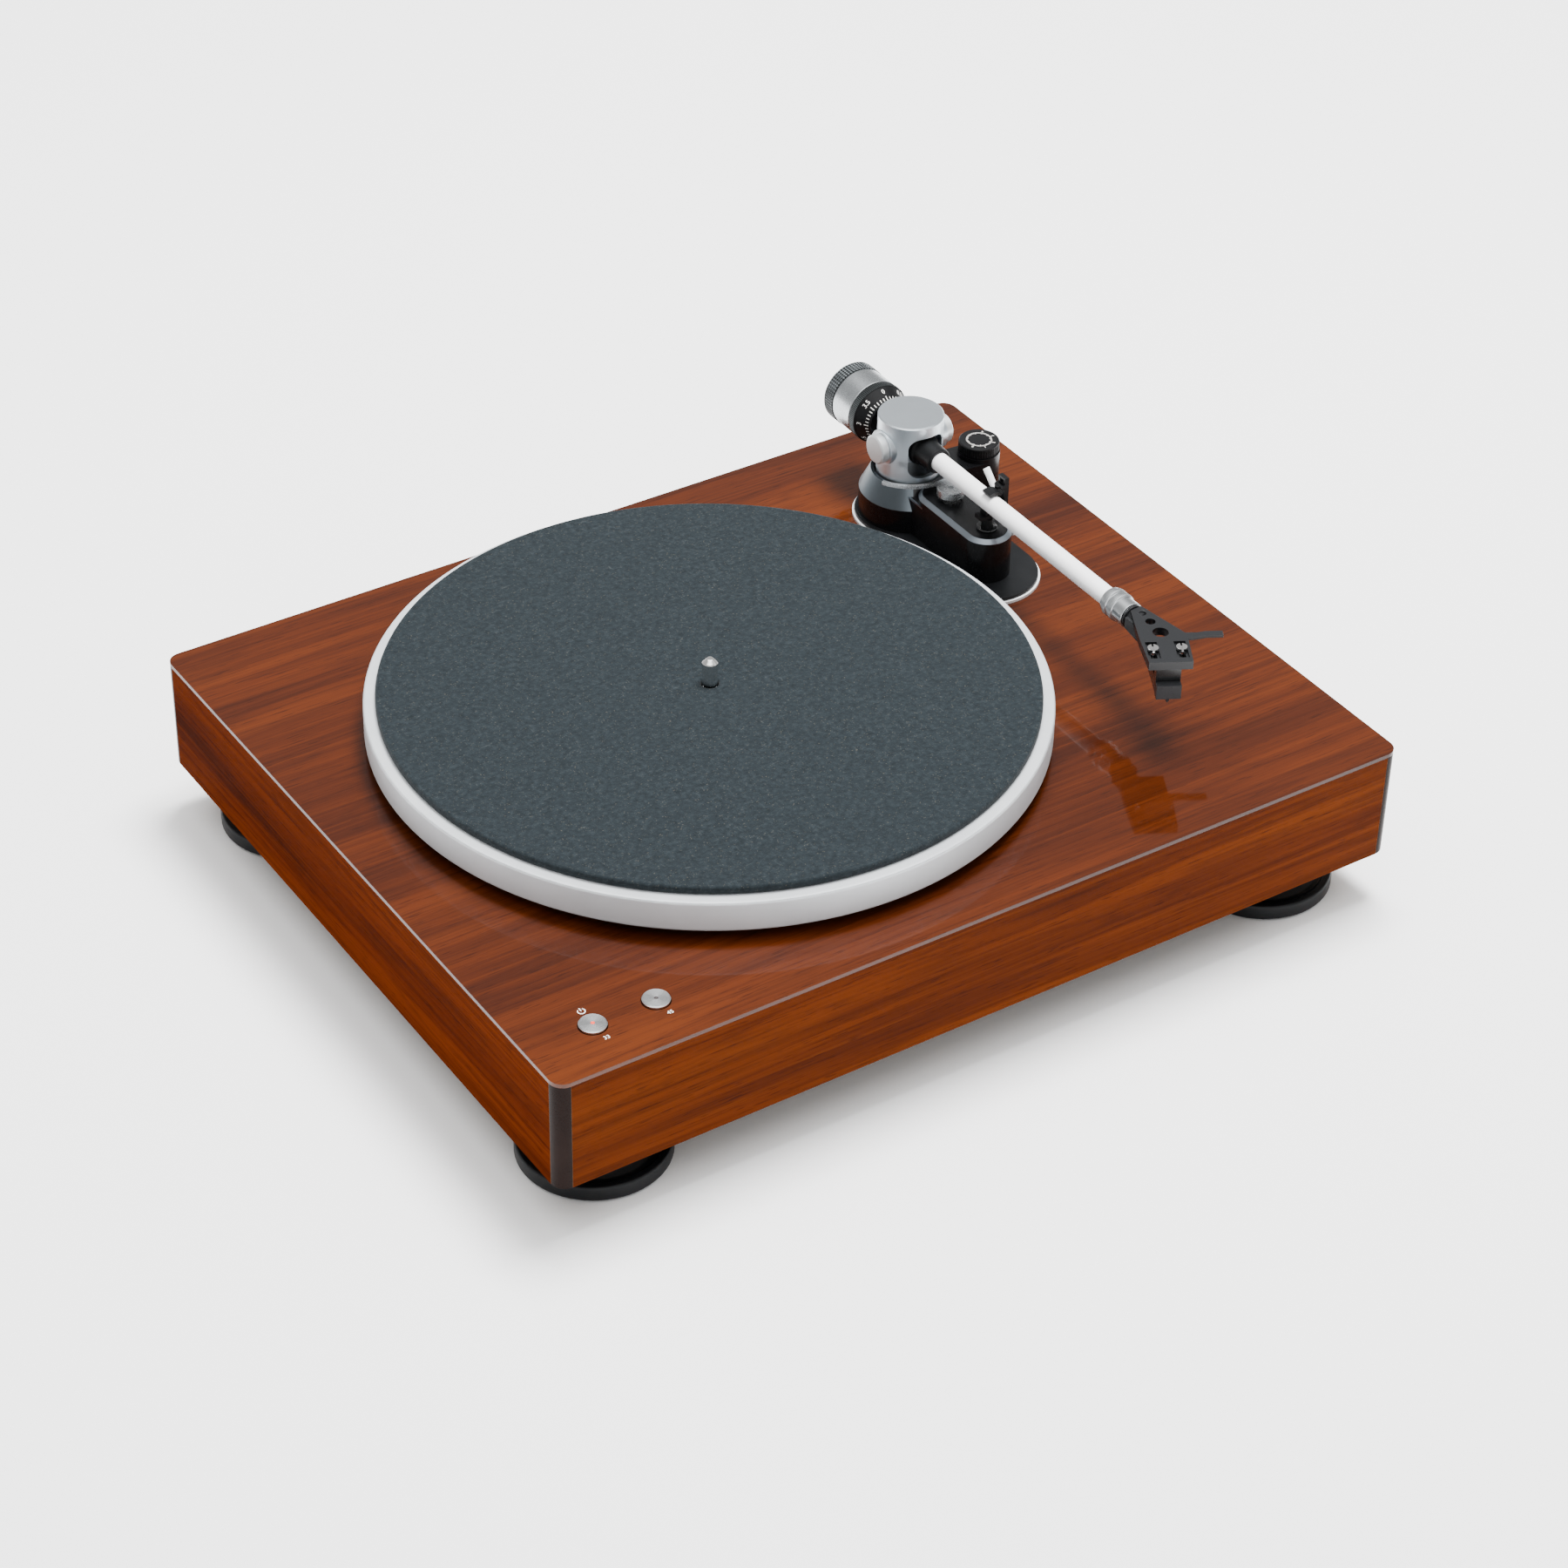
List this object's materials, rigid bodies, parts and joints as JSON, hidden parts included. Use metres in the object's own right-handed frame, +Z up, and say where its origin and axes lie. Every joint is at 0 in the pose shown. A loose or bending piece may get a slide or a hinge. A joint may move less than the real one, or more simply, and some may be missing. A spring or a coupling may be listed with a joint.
{
  "type": "turntable record player",
  "caption": "Belt-drive record player: gloss wooden plinth, felt-topped platter, offset tonearm with counterweight, cueing lift and arm rest, push buttons and rear sockets.",
  "frame": {"origin": "on the floor under the middle of the plinth, which is the middle of the bounding box's underside", "axes": "+X to the right along the front, +Y to the back, +Z up"},
  "size_m": [0.432, 0.35, 0.1379],
  "materials": {
    "walnut": "gloss lacquered veneer",
    "corner_lacquer": "dark gloss lacquer",
    "panel_board": "matt black board",
    "steel": "plain steel",
    "foot_black": "satin black paint",
    "rubber": "matt rubber",
    "bearing_metal": "turned",
    "bronze": "sintered bronze",
    "chrome": "polished",
    "platter_metal": "satin silver",
    "felt": "wool felt",
    "acetal": "moulded",
    "circuit_board": "solder mask",
    "button_metal": "spun",
    "lens_red": "translucent",
    "lens_dark": "translucent",
    "black_plastic": "moulded",
    "gold": "gold plated",
    "arm_black": "satin black anodised",
    "arm_silver": "satin anodised",
    "tube_silver": "white-silver satin",
    "cap_silver": "spun",
    "weight_steel": "turned",
    "knurl_dark": "knurled",
    "head_black": "black anodised",
    "cartridge_black": "moulded"
  },
  "bodies": {
    "plinth": {"plinth_frame": "walnut", "top_panel": "walnut", "corner_posts": "corner_lacquer", "bottom_panel": "panel_board", "panel_screws": "steel", "feet": "foot_black", "foot_pads": "rubber", "foot_bolts": "steel", "bearing_housing": "bearing_metal", "bearing_bush": "bronze", "thrust_ball": "chrome", "motor": "steel", "deck_screws": "steel", "drive_belt": "rubber", "control_board": "circuit_board", "button_guide": "black_plastic", "button_spring_33": "steel", "button_spring_45": "steel", "terminal_plate": "black_plastic", "rca_sockets": "gold", "power_jack": "black_plastic", "base_trim": "chrome", "base_plate": "arm_black", "arm_base": "arm_black", "yaw_bearings": "steel", "arm_mount_nut": "steel", "arm_rest": "black_plastic", "rest_collar": "chrome"},
    "turntable": {"spindle": "chrome", "sub_platter": "acetal", "platter": "platter_metal", "felt_mat": "felt"},
    "motor_rotor": {"motor_shaft": "steel", "motor_pulley": "bronze"},
    "speed_button_33": {"button_33": "button_metal", "led_lens_33": "lens_red"},
    "speed_button_45": {"button_45": "button_metal", "led_lens_45": "lens_dark"},
    "ground_washer": {"ground_washer": "steel"},
    "ground_nut": {"ground_nut": "cap_silver"},
    "arm_bearing": {"yaw_spindle": "steel", "pivot_housing": "arm_silver", "pivot_caps": "cap_silver"},
    "tonearm": {"arm_hub": "arm_black", "arm_sleeve": "arm_black", "arm_tube": "tube_silver", "headshell": "head_black", "finger_lift": "head_black", "cartridge_screws": "chrome", "cartridge": "cartridge_black", "stylus": "cartridge_black"},
    "headshell_lock": {"lock_collar": "arm_silver"},
    "weight_carrier": {"weight_carrier": "acetal"},
    "counterweight": {"counterweight": "weight_steel", "weight_grip": "knurl_dark"},
    "force_dial": {"force_dial": "black_plastic"},
    "rest_clip": {"rest_clip": "black_plastic"},
    "cue_lever": {"cue_lever": "arm_silver"},
    "cue_lift": {"cue_lift": "cap_silver"},
    "skate_dial": {"skate_dial": "black_plastic"}
  },
  "joints": [
    {"name": "platter_spin", "type": "hinge", "parent": "plinth", "child": "turntable", "pos_m": [-0.034, 0.0013, 0.1], "axis": [0, 0, -1], "continuous": true},
    {"name": "motor_spin", "type": "hinge", "parent": "plinth", "child": "motor_rotor", "pos_m": [-0.1132, 0.0805, 0.085], "axis": [0, 0, -1], "continuous": true},
    {"name": "press_33", "type": "slide", "parent": "plinth", "child": "speed_button_33", "axis": [0, 0, -1], "range_m": [0, 0.0012], "stiffness_N_per_m": 500, "springref_m": -0.002, "deforming": ["button_spring_33"]},
    {"name": "press_45", "type": "slide", "parent": "plinth", "child": "speed_button_45", "axis": [0, 0, -1], "range_m": [0, 0.0012], "stiffness_N_per_m": 500, "springref_m": -0.002, "deforming": ["button_spring_45"]},
    {"name": "ground_slide", "type": "slide", "parent": "plinth", "child": "ground_washer", "axis": [0, 1, 0], "range_m": [-0.0028, 0.00105]},
    {"name": "ground_turn", "type": "hinge", "parent": "ground_washer", "child": "ground_nut", "pos_m": [-0.104, 0.167, 0.051], "axis": [0, -1, 0], "range_deg": [-560, 1460]},
    {"name": "arm_swing", "type": "hinge", "parent": "plinth", "child": "arm_bearing", "pos_m": [0.14, 0.09991, 0.1], "axis": [0, 0, 1], "range_deg": [-50, 0]},
    {"name": "arm_tilt", "type": "hinge", "parent": "arm_bearing", "child": "tonearm", "pos_m": [0.14, 0.09991, 0.1225], "axis": [-1, 0.007, 0], "range_deg": [0, 4.5]},
    {"name": "collar_turn", "type": "hinge", "parent": "tonearm", "child": "headshell_lock", "pos_m": [0.13883, -0.06809, 0.1225], "axis": [-0.007, -1, 0], "range_deg": [0, 90]},
    {"name": "weight_shift", "type": "slide", "parent": "tonearm", "child": "weight_carrier", "axis": [-0.007, -1, 0], "range_m": [-0.0045, 0.0015]},
    {"name": "weight_turn", "type": "hinge", "parent": "weight_carrier", "child": "counterweight", "pos_m": [0.14028, 0.13991, 0.1225], "axis": [-0.007, -1, 0], "range_deg": [-1100, 380]},
    {"name": "force_dial_turn", "type": "hinge", "parent": "counterweight", "child": "force_dial", "pos_m": [0.14017, 0.12491, 0.1225], "axis": [-0.007, -1, 0], "continuous": true},
    {"name": "clip_open", "type": "hinge", "parent": "plinth", "child": "rest_clip", "pos_m": [0.14545, 0.03487, 0.1288], "axis": [0.007, 1, 0], "range_deg": [0, 97]},
    {"name": "cue_lever_turn", "type": "hinge", "parent": "plinth", "child": "cue_lever", "pos_m": [0.14754, 0.03446, 0.1035], "axis": [1, -0.007, 0], "range_deg": [0, 76]},
    {"name": "cue_lift_rise", "type": "slide", "parent": "plinth", "child": "cue_lift", "axis": [0, 0, 1], "range_m": [0, 0.0063]},
    {"name": "skate_dial_turn", "type": "hinge", "parent": "plinth", "child": "skate_dial", "pos_m": [0.1784, 0.09651, 0.108], "axis": [0, 0, 1], "range_deg": [-90, 180]}
  ],
  "couplings": [
    {"joint": "motor_spin", "follows": "platter_spin", "ratio": 9.4706},
    {"joint": "ground_turn", "follows": "ground_slide", "rad_per_m": -8976},
    {"joint": "weight_turn", "follows": "weight_shift", "rad_per_m": 4188.8},
    {"joint": "clip_open", "follows": "arm_tilt", "ratio": 21.333},
    {"joint": "cue_lever_turn", "follows": "arm_tilt", "ratio": 16.667},
    {"joint": "cue_lift_rise", "follows": "arm_tilt", "m_per_rad": 0.078941}
  ]
}
